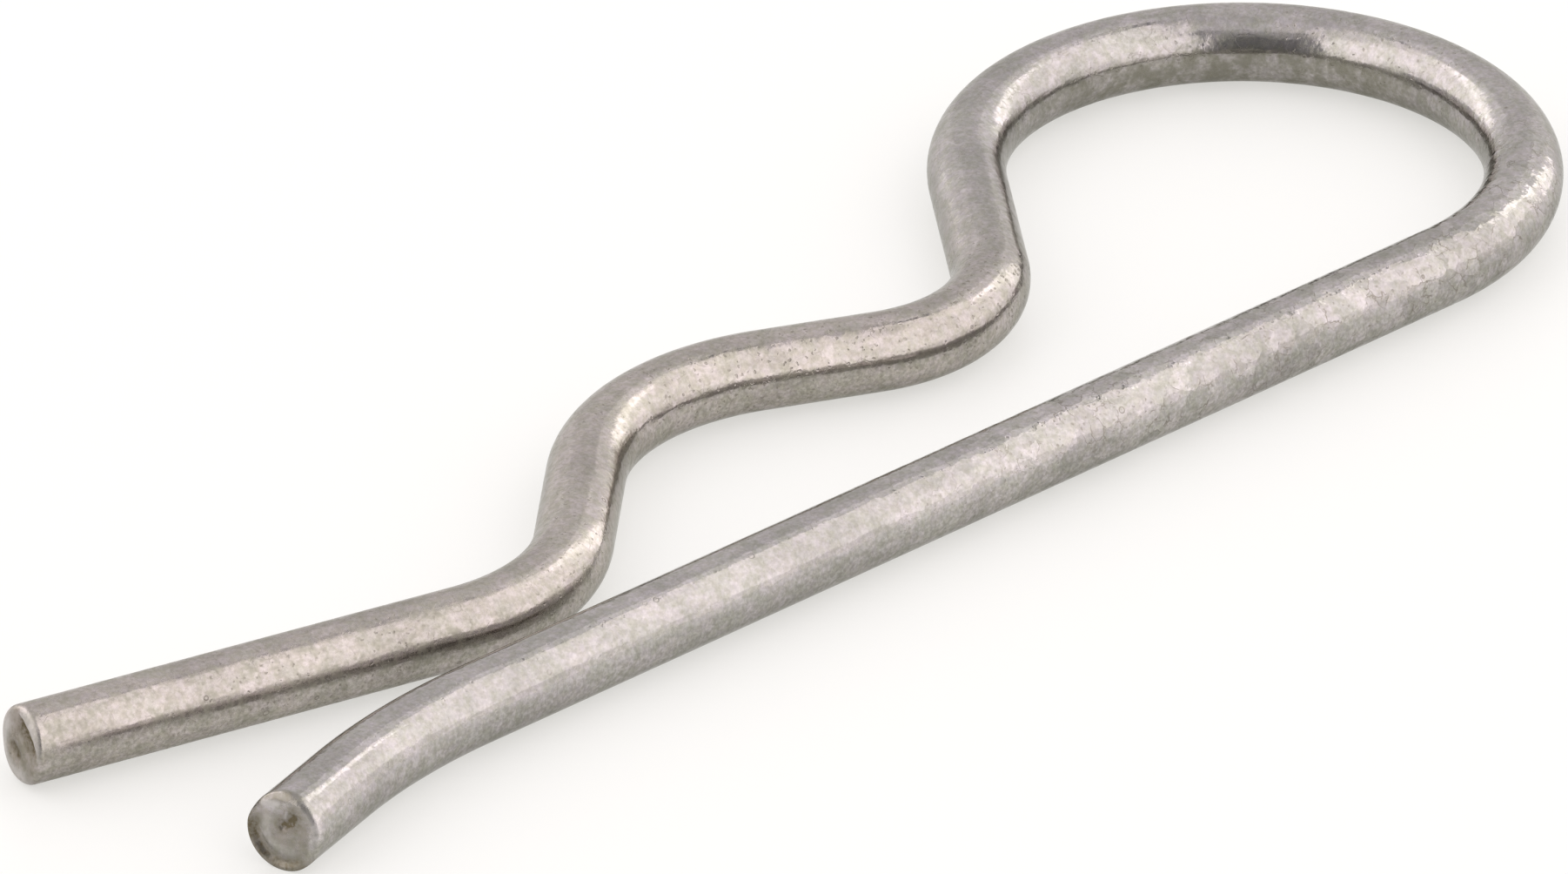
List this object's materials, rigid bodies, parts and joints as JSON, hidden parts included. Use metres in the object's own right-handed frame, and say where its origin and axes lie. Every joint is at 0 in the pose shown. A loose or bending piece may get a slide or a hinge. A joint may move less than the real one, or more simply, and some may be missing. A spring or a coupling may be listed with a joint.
{
  "type": "hitch r clip pin",
  "caption": "Stainless spring wire R clip: a straight leg for a shaft's cross hole, a waved leg that grips the shaft, and a finger loop.",
  "frame": {"origin": "where the axis of the shaft that the clip holds crosses the axis of the straight leg, in the plane of the wire's centreline", "axes": "+X along the straight leg towards the loop; +Y from the straight leg towards the waved leg; +Z square to the clip's plane, up from the surface it lies on, which is 2 mm below the origin"},
  "size_m": [0.1011, 0.0348, 0.004],
  "materials": {
    "wire": "drawn and tumbled stainless steel wire, satin"
  },
  "bodies": {
    "root": {"clip": "wire"}
  },
  "joints": []
}
